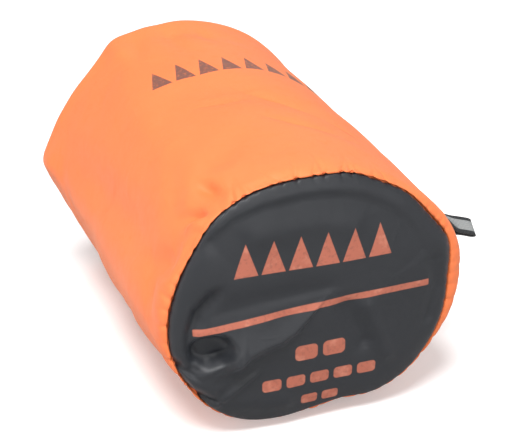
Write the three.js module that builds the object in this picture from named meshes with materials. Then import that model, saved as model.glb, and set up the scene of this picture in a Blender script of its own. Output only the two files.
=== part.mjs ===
// A bivvy bag packed in its round stuff sack, lying on its side. Millimetres, +Z up.
// +Y runs from the dark end panel to the drawn-in mouth, and z = 0 is the surface the sack rests on.
import * as THREE from "three";

// Driving dimensions
const sackLength = 130;       // seam of the end panel to the rim of the mouth end
const sackWidth = 100;        // across the barrel just behind the end panel
const panelEndHeight = 83.6;  // height of the barrel just behind the end panel
const mouthEndWidth = 97.6;   // across the rim of the mouth end
const mouthEndHeight = 89.6;  // height of the rim of the mouth end
const clothThickness = 1.5;   // end panel, with its turned-in seam allowance
const clearance = 0.45;       // round a piece that is sewn to another
const coverClearance = 0.7;   // behind the end panel, along the axis
const shoulderLength = 6.5;   // seam to where the barrel reaches its full size
const lipSetback = 0.2;       // of the shoulder's first edge, behind the seam
const rimLength = 3;          // round edge of the mouth end
const rimDrop = 2.1;          // how far that edge turns in
const around = 72;            // facets round the sack
const barrelRings = 24;

// Outline of the sack: how far the cloth lies outside (+) or inside (-) a plain oval, by the angle
// round the axis (0 is +X, 90 is up), at the panel's seam, behind it, half way along and at the rim.
const outline = [
  { angle: 0, seam: -4.8, front: 2.3, middle: 0.5, rim: 0.2 },
  { angle: 15, seam: -2.8, front: 1.9, middle: 0.2, rim: -0.2 },
  { angle: 30, seam: -3.7, front: 0.2, middle: -0.2, rim: -0.5 },
  { angle: 45, seam: -2.6, front: -0.9, middle: -0.4, rim: -0.4 },
  { angle: 60, seam: -2.2, front: -0.3, middle: -0.1, rim: -0.1 },
  { angle: 75, seam: -1.0, front: 0.1, middle: 0.1, rim: 0.3 },
  { angle: 90, seam: -1.5, front: 0.3, middle: 0.2, rim: 0.8 },
  { angle: 105, seam: -1.2, front: 0.6, middle: 0.5, rim: 1.4 },
  { angle: 120, seam: -0.6, front: 1.1, middle: 1.0, rim: 2.0 },
  { angle: 135, seam: -1.2, front: 0.2, middle: -0.2, rim: -1.2 },
  { angle: 150, seam: -3.9, front: -1.2, middle: -1.3, rim: -1.6 },
  { angle: 165, seam: -5.0, front: -1.6, middle: -1.2, rim: -0.3 },
  { angle: 180, seam: -4.4, front: -0.7, middle: 0.0, rim: 2.2 },
  { angle: 195, seam: -3.0, front: -0.6, middle: 0.1, rim: -0.3 },
  { angle: 210, seam: -2.0, front: -0.4, middle: 0.0, rim: -0.6 },
  { angle: 225, seam: -0.3, front: 0.3, middle: -0.3, rim: -0.6 },
  { angle: 240, seam: -0.7, front: 0.4, middle: 0.3, rim: 0.2 },
  { angle: 255, seam: -2.9, front: -0.4, middle: 1.2, rim: 1.2 },
  { angle: 270, seam: -4.9, front: -2.2, middle: 1.6, rim: 1.6 },
  { angle: 285, seam: -5.0, front: -2.9, middle: 1.2, rim: 1.2 },
  { angle: 300, seam: -1.7, front: -0.3, middle: 0.4, rim: 0.4 },
  { angle: 315, seam: -0.8, front: 0.5, middle: -0.3, rim: -0.4 },
  { angle: 330, seam: -2.0, front: 1.3, middle: 0.1, rim: 0.0 },
  { angle: 345, seam: -3.6, front: 2.1, middle: 0.5, rim: 0.3 },
];

// Creases of the barrel, each between two places: an angle round the axis and a distance behind the
// seam. Height is outwards, and spread is the half width across the crease.
const barrelCreases = [
  { name: "pucker under the crown", from: [129, 4], to: [131, 13], height: -1.0, spread: 3.8 },
  { name: "pucker lip", from: [135, 4], to: [137, 15], height: 0.8, spread: 3.6 },
  { name: "left pucker", from: [143, 3], to: [147, 18], height: -0.9, spread: 4.0 },
  { name: "left flank pucker", from: [153, 4], to: [157, 30], height: -0.8, spread: 5.0 },
  { name: "far wrinkle", from: [86, 60], to: [58, 47], height: -0.7, spread: 3.5 },
  { name: "near wrinkle", from: [82, 40], to: [60, 29], height: -0.7, spread: 3.5 },
  { name: "crown ridge", from: [127, 22], to: [130, 95], height: 0.6, spread: 6.0 },
  { name: "low flank dent", from: [205, 44], to: [212, 66], height: -0.8, spread: 6.0 },
  { name: "right flank dent", from: [338, 36], to: [322, 70], height: -0.9, spread: 7.0 },
];
const creaseEndFade = 1.6;   // distance over which a crease fades past its ends, in spreads

// Folds of the end panel, each between two places: x across and z above the floor. A fold stands out
// by height (a negative one sinks in) and falls away above and below over its own widths. End is the
// share of all this that is left at its second place.
const panelFolds = [
  { name: "lit fold", from: [-27, 27.5], to: [4, 42.5], height: 2.8, end: 0.25, above: 9, below: 2.6 },
  { name: "dimple", from: [-33, 30.5], to: [-26.5, 26], height: -4.8, end: 1, above: 4.4, below: 4.2 },
  { name: "hollow over the fold", from: [-34, 44], to: [6, 49], height: -1, end: 0.7, above: 4, below: 4 },
  { name: "top valley", from: [-27, 74.5], to: [4, 76.5], height: -1.1, end: 1, above: 2.2, below: 5 },
  { name: "right valley", from: [4, 76.5], to: [30, 66], height: -1.1, end: 0.8, above: 2.2, below: 5 },
  { name: "seam tuck", from: [-44, 26], to: [-38.5, 24.5], height: -1.6, end: 1, above: 2, below: 2 },
  { name: "low seam tuck", from: [-38, 13], to: [-32.5, 15.5], height: -1.6, end: 1, above: 2, below: 2 },
  { name: "low swell", from: [-30, 18], to: [-10, 9], height: 0.8, end: 1, above: 5, below: 4 },
  { name: "right hollow", from: [14, 36], to: [25, 24], height: -0.7, end: 1, above: 6, below: 6 },
];
const foldEndFade = 3.2;     // distance over which a fold fades past its ends
const foldHold = 3;          // distance from the seam over which the stitches hold the folds flat
const panelRoll = 2.2;       // how far the panel stands out of its seam
const panelRollWidth = 2.0;  // over which it does so
const panelCrown = 1.2;      // more at its middle
const panelRings = 12;
const ringCrowding = 1.5;    // over 1 draws the rings together towards the seam

// The mouth end: cloth drawn in to a closed pucker. Reach is a share of the rim's, bulge is the
// distance past the rim, and pleat the height of the pleats that run to the middle.
const mouthRows = [
  { reach: 0.93, bulge: 0.6, pleat: 0.35 },
  { reach: 0.8, bulge: 1.2, pleat: 0.7 },
  { reach: 0.63, bulge: 1.8, pleat: 1.0 },
  { reach: 0.46, bulge: 2.2, pleat: 1.1 },
  { reach: 0.31, bulge: 2.0, pleat: 1.0 },
  { reach: 0.18, bulge: 0.4, pleat: 0.7 },
  { reach: 0.08, bulge: -2.6, pleat: 0.2 },
];
const mouthDepth = 4;        // of the pucker's bottom, inside the rim
const mouthPleats = 18;
const pleatWander = 40;      // how unevenly the pleats lie, as degrees of one pleat's wave
const pleatGroups = 3;       // places round the mouth where they crowd together

// The haul loop: a narrow tape caught in the lengthwise seam on the right side. It stands open next
// to the sack and is pressed flat towards its fold.
const loopAngle = 1.2;       // of the lengthwise seam, round the axis
const loopAlong = 30;        // behind the panel's seam
const tapeWidth = 6;
const tapeThickness = 1;
const loopReach = 19;        // from the sack to the fold
const loopDroop = 3.2;       // of the fold, below a straight line out of the seam
const droopPower = 1.5;      // over 1 makes the tape bend down more and more towards its fold
const loopTwist = 42;        // degrees that the flat end leans to the front
const flatFrom = 7;          // out of the sack, where the loop starts to close, twist and droop
const flatAt = 13;           // where it has closed and twisted
const tapeSteps = 44;
// Gap between the loop's two sides, by the distance out of the sack
const loopRows = [
  { out: 0, gap: 0.6 },
  { out: 1.4, gap: 3 },
  { out: 3.2, gap: 5.4 },
  { out: 5.2, gap: 5.9 },
  { out: 7.2, gap: 5.4 },
  { out: 9.4, gap: 2.8 },
  { out: 11.8, gap: 0.8 },
  { out: 14.6, gap: 0.5 },
  { out: 17.4, gap: 0.5 },
];

const orangeNylon = new THREE.MeshStandardMaterial({ color: 0xf98a50, roughness: 0.55, metalness: 0 });
const charcoalNylon = new THREE.MeshStandardMaterial({ color: 0x45464a, roughness: 0.5, metalness: 0 });
const greyTape = new THREE.MeshStandardMaterial({ color: 0x8c8f90, roughness: 0.6, metalness: 0 });

const radians = THREE.MathUtils.degToRad;
const mix = THREE.MathUtils.lerp;

// Smooth curve through the outline's rows, joined end to end round the sack
function departure(column, degrees) {
  const count = outline.length;
  const place = THREE.MathUtils.euclideanModulo(degrees, 360) / (360 / count);
  const row = Math.floor(place);
  const value = (step) => outline[(row + step + count) % count][column];
  const curve = new THREE.CatmullRomCurve3(
    [-1, 0, 1, 2].map((step) => new THREE.Vector3(step, value(step), 0)), false, "catmullrom", 0.5);
  return curve.getPoint((1 + place - row) / 3).y;
}

function ovalReach(width, height, degrees) {
  const across = Math.cos(radians(degrees)) / (width / 2);
  const up = Math.sin(radians(degrees)) / (height / 2);
  return 1 / Math.hypot(across, up);
}

// Height of the axis above the floor, and the oval's reach, at a distance behind the seam
const lengthShare = (along) => THREE.MathUtils.clamp(along / sackLength, 0, 1);
const axisHeight = (along) => mix(panelEndHeight, mouthEndHeight, lengthShare(along)) / 2;

function plainReach(along, degrees) {
  const share = lengthShare(along);
  const width = mix(sackWidth, mouthEndWidth, share);
  const height = mix(panelEndHeight, mouthEndHeight, share);
  return ovalReach(width, height, degrees);
}

const seamReach = (degrees) => ovalReach(sackWidth, panelEndHeight, degrees) + departure("seam", degrees);

// How much of a crease or fold is felt at a place: full on its run, fading past its ends and sides
function foldShare(across, beyond, spread, endFade) {
  return Math.exp(-((across / spread) ** 2) - (beyond / endFade) ** 2);
}

// Where a place lies on the run between two points: its share of the way, the distance past the
// nearer end, and the distance to the side
function alongRun(from, to, place) {
  const run = to.clone().sub(from);
  const length = run.length();
  const offset = place.clone().sub(from);
  const travel = offset.dot(run) / length;
  const side = run.cross(offset) / length;
  const beyond = Math.max(0, -travel, travel - length);
  return { share: THREE.MathUtils.clamp(travel / length, 0, 1), beyond, side };
}

// A place on the barrel as if its cloth were laid out flat
const girthPerDegree = (Math.PI * (sackWidth + panelEndHeight)) / 2 / 360;
const flatPlace = (degrees, along) => new THREE.Vector2(degrees * girthPerDegree, along);

function creaseHeight(along, degrees) {
  let height = 0;
  for (const crease of barrelCreases) {
    const { beyond, side } = alongRun(
      flatPlace(...crease.from), flatPlace(...crease.to), flatPlace(degrees, along));
    height += crease.height * foldShare(side, beyond, crease.spread, crease.spread * creaseEndFade);
  }
  return height;
}

// Distance from the axis to the barrel's cloth
function barrelReach(along, degrees) {
  const middle = sackLength / 2;
  const towardsMiddle = Math.sin(radians(90 * THREE.MathUtils.clamp(along / middle, 0, 1)));
  const towardsRim = THREE.MathUtils.smoothstep(along, middle, sackLength);
  const nearHalf = mix(departure("front", degrees), departure("middle", degrees), towardsMiddle);
  const outside = mix(nearHalf, departure("rim", degrees), towardsRim);
  return plainReach(along, degrees) + outside + creaseHeight(along, degrees);
}

// A point of the sack, laid flat where it would sink into the floor
function sackPoint(along, degrees, reach) {
  const x = reach * Math.cos(radians(degrees));
  const z = axisHeight(along) + reach * Math.sin(radians(degrees));
  return new THREE.Vector3(x, along, Math.max(z, 0));
}

// How far the end panel stands out in front of its seam
function panelHeight(x, z, inFromSeam, share) {
  const roll = panelRoll * (1 - Math.exp(-inFromSeam / panelRollWidth));
  let height = roll + panelCrown * (1 - share * share);
  const place = new THREE.Vector2(x, z);
  const free = THREE.MathUtils.smoothstep(inFromSeam, 0, foldHold);
  for (const fold of panelFolds) {
    const { share: travel, beyond, side } = alongRun(
      new THREE.Vector2(...fold.from), new THREE.Vector2(...fold.to), place);
    const left = mix(1, fold.end, travel);
    const spread = (side > 0 ? fold.above : fold.below) * left;
    height += free * left * fold.height * foldShare(side, beyond, spread, foldEndFade);
  }
  return height;
}

// A point of the end panel, or behind it by depth
function panelPoint(share, degrees, depth) {
  const reach = seamReach(degrees);
  const x = share * reach * Math.cos(radians(degrees));
  const z = axisHeight(0) + share * reach * Math.sin(radians(degrees));
  return new THREE.Vector3(x, depth - panelHeight(x, z, (1 - share) * reach, share), z);
}

// The panel's rings at a depth, from next to its middle out to its seam
function panelSurface(depth) {
  return Array.from({ length: panelRings }, (unused, ring) => {
    const share = 1 - (1 - (ring + 1) / panelRings) ** ringCrowding;
    return (degrees) => panelPoint(share, degrees, depth);
  });
}

// A closed shell round the sack's axis: a lathed form whose rings are then laid in place. Each ring
// is a function of the angle, and the first and last ring are single points.
function closedShell(rings) {
  const profile = rings.map((ring, index) => new THREE.Vector2(1, index));
  const shell = new THREE.LatheGeometry(profile, around);
  const points = shell.getAttribute("position");
  for (let side = 0; side <= around; side++) {
    const degrees = 360 - (360 / around) * (side === around ? 0 : side);
    rings.forEach((ring, index) => {
      const point = ring(degrees);
      points.setXYZ(side * rings.length + index, point.x, point.y, point.z);
    });
  }
  shell.computeVertexNormals();
  return shell;
}

// A lathed form splits each of its four-sided faces from one corner. This splits them from the other,
// so that two shells that lie face to face have their facets parallel.
function splitFromOtherCorner(shell, ringCount) {
  const index = shell.getIndex();
  for (let side = 0; side < around; side++) {
    for (let ring = 0; ring < ringCount - 1; ring++) {
      const near = side * ringCount + ring;
      const next = near + ringCount;
      const first = (side * (ringCount - 1) + ring) * 6;
      const corners = [near, next, next + 1, near, next + 1, near + 1];
      corners.forEach((corner, step) => index.setX(first + step, corner));
    }
  }
  shell.computeVertexNormals();
}

function endPanel() {
  const frontMiddle = () => panelPoint(0, 0, 0);
  const backMiddle = () => panelPoint(0, 0, clothThickness);
  const back = panelSurface(clothThickness).reverse();
  const rings = [frontMiddle, ...panelSurface(0), ...back, backMiddle];
  const panel = closedShell(rings);
  splitFromOtherCorner(panel, rings.length);
  return panel;
}

// The cloth behind the end panel, which turns forward round the panel's edge
function coverRings() {
  const behindPanel = clothThickness + coverClearance;
  const middle = () => panelPoint(0, 0, behindPanel);
  const withoutSeam = panelSurface(behindPanel).slice(0, -1);
  const lip = [behindPanel, lipSetback].map((along) => (degrees) =>
    sackPoint(along, degrees, seamReach(degrees) + clearance));
  return [middle, ...withoutSeam, ...lip];
}

// Out over the shoulder, along the barrel and round the rim of the mouth end
function barrelSurface() {
  const shoulder = [0.25, 0.5, 0.75, 1].map((share) => (degrees) => {
    const along = shoulderLength * (1 - Math.cos(radians(90 * share)));
    const swell = Math.sin(radians(90 * share));
    const reach = mix(seamReach(degrees) + clearance, barrelReach(shoulderLength, degrees), swell);
    return sackPoint(along, degrees, reach);
  });
  const barrelEnd = sackLength - rimLength;
  const barrel = Array.from({ length: barrelRings }, (unused, ring) => {
    const along = mix(shoulderLength, barrelEnd, (ring + 1) / barrelRings);
    return (degrees) => sackPoint(along, degrees, barrelReach(along, degrees));
  });
  const rim = [0.4, 0.75, 1].map((share) => (degrees) => {
    const along = barrelEnd + rimLength * Math.sin(radians(90 * share));
    const turnedIn = rimDrop * (1 - Math.cos(radians(90 * share)));
    return sackPoint(along, degrees, barrelReach(along, degrees) - turnedIn);
  });
  return [...shoulder, ...barrel, ...rim];
}

function mouthSurface() {
  const rows = mouthRows.map((row) => (degrees) => {
    const wander = pleatWander * Math.sin(radians(pleatGroups * degrees));
    const pleat = row.pleat * Math.cos(radians(mouthPleats * degrees + wander));
    const rimReach = barrelReach(sackLength, degrees) - rimDrop;
    const point = sackPoint(sackLength, degrees, rimReach * row.reach);
    point.y += row.bulge + pleat;
    return point;
  });
  const middle = () => new THREE.Vector3(0, sackLength - mouthDepth, axisHeight(sackLength));
  return [...rows, middle];
}

const sackBody = () => closedShell([...coverRings(), ...barrelSurface(), ...mouthSurface()]);

// The loop's line in its own plane: x out of the sack, y across it, from the upper end to the lower
function loopLine() {
  const half = (row) => (row.gap + tapeThickness) / 2;
  const upper = loopRows.map((row) => new THREE.Vector3(row.out, half(row), 0));
  const lower = loopRows.map((row) => new THREE.Vector3(row.out, -half(row), 0));
  const fold = new THREE.Vector3(loopReach - tapeThickness / 2, 0, 0);
  return new THREE.CatmullRomCurve3([...upper, fold, ...lower.reverse()], false, "catmullrom", 0.5);
}

// A flat tape bent along the loop's line, turned to lean forward at its flat end
function haulLoop() {
  const line = loopLine();
  const tape = new THREE.BoxGeometry(tapeWidth, tapeThickness, 1, 2, 1, tapeSteps);
  const points = tape.getAttribute("position");
  const root = sackPoint(loopAlong, loopAngle, barrelReach(loopAlong, loopAngle) + clearance);
  for (let index = 0; index < points.count; index++) {
    const share = points.getZ(index) + 0.5;
    const centre = line.getPointAt(share);
    const heading = line.getTangentAt(share);
    const out = Math.max(0, centre.x - heading.y * points.getY(index));
    const across = centre.y + heading.x * points.getY(index);
    const turn = radians(loopTwist * THREE.MathUtils.smoothstep(out, flatFrom, flatAt));
    const width = points.getX(index);
    const sag = loopDroop * (Math.max(0, out - flatFrom) / (loopReach - flatFrom)) ** droopPower;
    points.setXYZ(
      index,
      root.x + out,
      root.y + width * Math.cos(turn) - across * Math.sin(turn),
      root.z + width * Math.sin(turn) + across * Math.cos(turn) - sag);
  }
  tape.computeVertexNormals();
  return tape;
}

function piece(name, geometry, material) {
  const mesh = new THREE.Mesh(geometry, material);
  mesh.name = name;
  return mesh;
}

const packedBag = new THREE.Group();
packedBag.add(
  piece("sack_body", sackBody(), orangeNylon),
  piece("end_panel", endPanel(), charcoalNylon),
  piece("haul_loop", haulLoop(), greyTape),
);
// The origin is the middle of the strip that the sack rests on
packedBag.position.y = -sackLength / 2;
export default packedBag;
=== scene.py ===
"""A bivvy bag packed in its round stuff sack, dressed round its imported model."""

import math
import random
from collections import namedtuple
from contextlib import contextmanager

import bmesh
import bpy
import numpy as np
from mathutils import Matrix, Vector, noise


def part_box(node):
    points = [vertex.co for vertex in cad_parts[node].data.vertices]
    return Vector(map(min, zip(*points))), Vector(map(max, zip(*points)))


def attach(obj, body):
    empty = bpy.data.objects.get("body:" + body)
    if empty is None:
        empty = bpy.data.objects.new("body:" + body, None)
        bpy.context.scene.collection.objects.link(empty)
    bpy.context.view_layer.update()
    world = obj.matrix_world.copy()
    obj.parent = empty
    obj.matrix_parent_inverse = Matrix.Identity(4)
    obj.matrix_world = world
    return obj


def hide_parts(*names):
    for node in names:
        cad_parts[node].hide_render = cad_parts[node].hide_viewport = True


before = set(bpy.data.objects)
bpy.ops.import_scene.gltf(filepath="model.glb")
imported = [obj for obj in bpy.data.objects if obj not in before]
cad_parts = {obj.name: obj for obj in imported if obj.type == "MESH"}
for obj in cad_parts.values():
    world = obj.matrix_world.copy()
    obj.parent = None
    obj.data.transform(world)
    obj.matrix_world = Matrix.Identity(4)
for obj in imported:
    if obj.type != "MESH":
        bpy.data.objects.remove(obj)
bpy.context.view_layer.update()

bl_info = {
    "name": "Packed Bivvy Bag",
    "version": (1, 0, 0),
    "blender": (4, 5, 0),
    "location": "3D View > Sidebar > Packed Bag",
    "description": "Dresses a packed bivvy bag: stuff sack, end panel, haul loop and stitches",
    "category": "Object",
}

MM = 0.001
SACK_LENGTH = 130 * MM
SACK_RADIUS = 50 * MM
SEAM_Y = -SACK_LENGTH / 2            # plane of the end panel's seam
AXIS_AT_PANEL = 41.8 * MM            # height of the sack's axis at the panel and at the mouth
AXIS_AT_MOUTH = 44.8 * MM
GIRTH_PER_DEGREE = 0.8 * MM          # cloth round the barrel
SEAM_DEGREES = 1.2                   # of the lengthwise seam, round the axis
LOOP_ALONG = 30 * MM                 # of the haul loop, behind the panel's seam

# Creases of the sack's cloth. Height is outwards, and height and width are in millimetres. A route's
# places are degrees round the axis (0 is +X, 90 is up) and millimetres behind the panel's seam.
Crease = namedtuple("Crease", "name height width route")
SACK_CREASES = [
    Crease("crown pucker", -2.3, 2.0, [(131, 19), (129, 13), (128, 9)]),
    Crease("left pucker", -2.4, 2.0, [(144, 14), (139, 9), (135, 3)]),
    Crease("pucker lip", 1.4, 1.9, [(147, 9), (141, 5), (136, 2)]),
    Crease("flank hollow", -2.4, 4.5, [(166, 20), (158, 8), (150, 9)]),
    Crease("far wrinkle", -1.1, 1.8, [(84, 63), (73, 56), (64, 47)]),
    Crease("far wrinkle crest", 0.5, 1.6, [(82, 58), (72, 52), (65, 44)]),
    Crease("near wrinkle", -1.1, 1.7, [(88, 42), (77, 36), (66, 31)]),
    Crease("crown wrinkle", -0.7, 1.9, [(110, 61), (100, 59), (90, 59)]),
    Crease("side wrinkle", -0.8, 1.7, [(60, 45), (54, 40), (48, 37)]),
    Crease("hem hollow", -1.0, 5.0, [(109, 120), (94, 120), (68, 113)]),
    Crease("far dent", -1.3, 3.6, [(99, 124), (97, 104)]),
    Crease("second far dent", -0.9, 2.8, [(112, 124), (117, 106)]),
    Crease("third far dent", -0.8, 2.6, [(84, 122), (80, 108)]),
    Crease("flank wrinkle", -0.5, 2.2, [(190, 30), (204, 42), (212, 60)]),
    Crease("low flank wrinkle", -0.5, 2.0, [(222, 14), (216, 26), (214, 40)]),
    Crease("far flank wrinkle", -0.5, 2.4, [(176, 112), (190, 96), (206, 86)]),
    Crease("right wrinkle", -0.6, 2.0, [(20, 84), (30, 74), (42, 70)]),
    Crease("loop pull", -0.5, 2.4, [(3, 34), (10, 42), (18, 54)]),
    Crease("lower loop pull", -0.5, 2.4, [(-1, 27), (-10, 18), (-20, 10)]),
    Crease("flank valley", -3.6, 8.5, [(166, 14), (165, 30), (164, 46), (168, 76), (173, 109)]),
    Crease("panel side hollow", -1.5, 4, [(181, 8), (174, 13), (166, 20)]),
    Crease("crown ridge", 1.2, 8, [(134, 14), (132, 60), (130, 100)]),
    Crease("left rim corner", 1.8, 3.5, [(179, 116), (180, 128)]),
    Crease("top rim corner", 1.4, 4.0, [(121, 114), (121, 128)]),
    Crease("low right wrinkle", -0.6, 2.4, [(-24, 96), (-34, 80), (-38, 66)]),
]
CREASE_FADE = 7 * MM                 # past a crease's ends, at most

# Soft noise on the cloths: height and size of its lumps in millimetres, and seed
SACK_LUMPS = [(0.55, 24, 1), (0.18, 9, 2)]
PANEL_LUMPS = [(0.45, 17, 3), (0.12, 7, 4)]

# Tucks where the end seam's stitches pull the cloth in: degrees between them, and strength
TUCK_STEPS = {"right": (3.6, 6.6), "elsewhere": (4.2, 7.6)}
TUCK_STRENGTHS = {"top": (0.35, 0.9), "elsewhere": (0.15, 0.6)}
TUCK_LEAN = 0.5

FILL_STEPS = 20                      # of the cloth simulation
RIGHT = 5                            # degrees round the axis, on the loop's side
SEAM_PUFF = 0.22 * MM                # cloth puffed out behind the end seam
SEAM_GROOVE = 0.55 * MM              # depth of the lengthwise seam
SEAM_RIPPLE = 0.2 * MM               # height of its small puckers
LOOP_PULL = 0.5 * MM                 # how far the loop's root is drawn in
RIM_ALONG = 127.5 * MM               # where the cloth turns over the rim of the mouth
RIM_RADIUS = 45 * MM
RIM_HEIGHT = 0.6 * MM
MOUTH_RADIUS = 46 * MM               # where the pleats of the mouth begin
HEM_HEIGHT = 0.5 * MM                # of the mouth's hem
FLOOR_GAP = 0.02 * MM                # under the sack
COVER_GAP = 1.3 * MM                 # from the panel's face back to the sack's cloth behind it

# Folds of the end panel. A fold stands out by its height. Above and below are its widths to the left
# and right of its route, and end is what is left of it at its last place. A route's places are x across
# and z above the floor. All are in millimetres. A ridge is straight-sided and a swell is soft. A bowl
# reaches out as far as the width below, with walls of the width above. A fall drops at its route and
# recovers slowly to the right of it. A notch is soft, and the seam doesn't hold it flat.
Fold = namedtuple("Fold", "name form height above below end route")
PANEL_FOLDS = [
    Fold("lit fold", "ridge", 4.0, 14, 5.2, 0.06,
           [(-26, 28), (-22, 30.2), (-16.8, 31.6), (-12, 32.6), (-7.8, 34.6), (-3, 38.6), (1.5, 42.6)]),
    Fold("hollow over the fold", "swell", -1.0, 6, 3, 0.5,
           [(-36.5, 42.6), (-30, 44.6), (-18, 45.6), (-8, 46), (3, 46.8)]),
    Fold("dimple", "bowl", -4.0, 3.2, 6.0, 1, [(-35, 31.8), (-32, 32)]),
    Fold("inner crest", "swell", 0.9, 1.1, 1.1, 0.7, [(-34.4, 25.2), (-31, 26.6), (-28, 29)]),
    Fold("inner crease", "swell", -0.7, 1.0, 1.0, 0.8, [(-35, 27.2), (-32, 28.4), (-29.4, 30.2)]),
    Fold("lit rim", "swell", 0.9, 2, 2, 0.8, [(-32, 24), (-28, 25.6), (-25.2, 28.2), (-25, 31.2)]),
    Fold("left valley", "swell", -2.0, 2.2, 2.2, 0.8,
           [(-33, 49), (-37.4, 44.4), (-39.6, 39), (-40, 33), (-39, 27)]),
    Fold("rim fall", "fall", -1.5, 2.2, 8, 0.5,
           [(-33, 68), (-26, 73.2), (-17, 76), (-5.5, 77.2), (2, 77.3), (9, 76.3), (15, 74.4),
            (20.5, 71.7), (25, 68.6), (29, 65), (33, 60), (36, 55)]),
    Fold("seam tuck", "notch", -2.0, 1.6, 1.6, 0.4, [(-43.6, 27.8), (-40, 24.8)]),
    Fold("low seam tuck", "notch", -2.6, 1.5, 1.5, 0.4, [(-37.6, 16.8), (-33.4, 14.6)]),
    Fold("low left swell", "swell", 1.1, 3.5, 4, 1, [(-39, 21.5), (-33, 18.5)]),
    Fold("low streak", "swell", 0.9, 1.6, 1.6, 0.6, [(-31.5, 13.4), (-26.7, 17.1), (-21.5, 20.4)]),
    Fold("low swell", "swell", 0.8, 5, 4, 1, [(-26, 12), (-10, 9)]),
    Fold("right hollow", "swell", -1.2, 3.4, 3.4, 1, [(9.7, 39), (12.2, 33.4), (16, 26)]),
    Fold("right swell", "swell", 0.8, 3, 3, 1, [(17, 38), (20, 30), (23.8, 20)]),
    Fold("right rim hollow", "swell", -1.0, 3, 2.4, 1, [(39, 49), (40.5, 40), (38, 30)]),
    Fold("middle swell", "swell", 0.6, 4, 4, 1, [(-20, 67), (-4, 68.5), (12, 66)]),
]
PANEL_ROLL = 2.5 * MM                # how far the panel stands out of its seam
PANEL_ROLL_WIDTH = 2.0 * MM
PANEL_ROLL_WIDER = 1.2 * MM          # added to that width along the top
PANEL_CROWN = 1.2 * MM
PANEL_OVERHANG = 1.8 * MM            # how far the panel sags over its seam at the bottom
PANEL_TUCK = 0.5 * MM                # how far the stitches draw its edge in
PANEL_DENT = 0.12 * MM               # and how far they dent it
PANEL_RIB = 0.4 * MM                 # depth of the furrows between its ribs on the right
PANEL_GRID = 190                     # faces along each side of the panel's mesh
FOLD_HOLD = 2.2 * MM                 # from the seam, where its stitches hold the folds flat
FOLD_CREST = 0.55 * MM               # round top of a sharp fold
FOLD_END_FADE = 3.0 * MM             # past a fold's ends

# Prints: rows of plain shapes by the middle of the row, and a line, in millimetres. Places are across
# the panel and above the floor, and round the sack and along it.
Row = namedtuple("Row", "shape centre count size gap")
PANEL_ROWS = [
    Row("pennant", (-1.2, 60.0), 6, (7.6, 10.6), 1.0),
    Row("dash", (1.2, 26.0), 2, (7.4, 5.2), 1.8),
    Row("dash", (1.2, 16.4), 5, (6.2, 3.9), 1.7),
    Row("dash", (1.6, 8.9), 2, (5.4, 3.3), 1.6),
]
SACK_ROW = Row("pennant", (79 * GIRTH_PER_DEGREE / MM, 92), 8, (7.2, 11.5), 1.4)
LINE_CENTRE = (-0.7 * MM, 41.6 * MM)
LINE_SIZE = (76.4 * MM, 2.1 * MM)
LINE_SLOPE = 0.052
LINE_BOW = -0.9                      # per metre
PRINT_EDGE = 0.12 * MM               # softness of a print's edge

# The haul loop's two sides: gap between them by the distance out of the sack, in millimetres
LOOP_ROWS = [(-1.2, 0.0), (0, 0.6), (1.4, 3), (3.2, 5.4), (5.2, 5.9), (7.2, 5.4), (9.4, 2.8),
             (11.8, 0.8), (14.6, 0.5), (17.4, 0.5)]
LOOP_REACH = 19 * MM
LOOP_DROOP = 3.2 * MM
LOOP_TWIST = 42                      # degrees
LOOP_FLAT_FROM = 7 * MM
LOOP_FLAT_AT = 13 * MM
LOOP_STEPS = 160                     # faces along the tape
TAPE_WEAVE = 0.7 * MM                # pitch of its threads
STITCH_RISE = 0.15                   # of a stitch's middle above the cloth, in threads

# Soft round lights: place and width in metres. Their powers are settings of the stage.
LIGHTS = {
    "key": ((-0.32, -0.45, 1.27), 0.65),
    "side": ((-1.0, -0.25, 0.22), 0.4),
    "front": ((0.35, -1.2, 0.42), 0.7),
    "back": ((0.6, 0.9, 0.7), 0.6),
}
FLOOR_GLOW = 0.25
FLOOR_BOUNCE = (0.42, 0.62)          # share of the light it throws back, on the right and on the left
BOUNCE_TURNS = (-30 * MM, -70 * MM)  # x where it starts to rise and where it is full
WHITE = (1.0, 1.0, 1.0, 1.0)


# Small tools

def choose(piece):
    """Deselects everything and selects one piece."""
    bpy.ops.object.select_all(action="DESELECT")
    piece.select_set(True)
    bpy.context.view_layer.objects.active = piece


def add_new(operator, name, **settings):
    """Adds an object by an operator, with all others deselected."""
    bpy.ops.object.select_all(action="DESELECT")
    operator(**settings)
    added = bpy.context.active_object
    added.name = name
    return added


@contextmanager
def editing(piece, part="FACE"):
    """Edit mode on one piece, with nothing selected."""
    choose(piece)
    bpy.ops.object.mode_set(mode="EDIT")
    bpy.ops.mesh.select_mode(type=part)
    bpy.ops.mesh.select_all(action="DESELECT")
    shape = bmesh.from_edit_mesh(piece.data)
    yield shape
    bpy.ops.object.mode_set(mode="OBJECT")


def apply_modifier(piece, kind, **settings):
    choose(piece)
    modifier = piece.modifiers.new(kind, kind)
    for name, value in settings.items():
        setattr(modifier, name, value)
    bpy.ops.object.modifier_apply(modifier=modifier.name)


def read_vectors(items, key):
    vectors = np.zeros(len(items) * 3)
    items.foreach_get(key, vectors)
    return vectors.reshape(-1, 3)


def read_points(mesh):
    return read_vectors(mesh.vertices, "co")


def write_points(mesh, points):
    mesh.vertices.foreach_set("co", points.ravel())
    mesh.update()


def read_whole(items, key):
    numbers = np.zeros(len(items), dtype=np.int32)
    items.foreach_get(key, numbers)
    return numbers


def write_flat_places(mesh, places):
    """Makes the mesh's one UV map, from a place for each corner of its faces."""
    while mesh.uv_layers:
        mesh.uv_layers.remove(mesh.uv_layers[0])
    layer = mesh.uv_layers.new(name="cloth")
    layer.data.foreach_set("uv", places.astype(np.float32).ravel())


def bell(distance, width):
    return np.exp(-((distance / width) ** 2))


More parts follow.
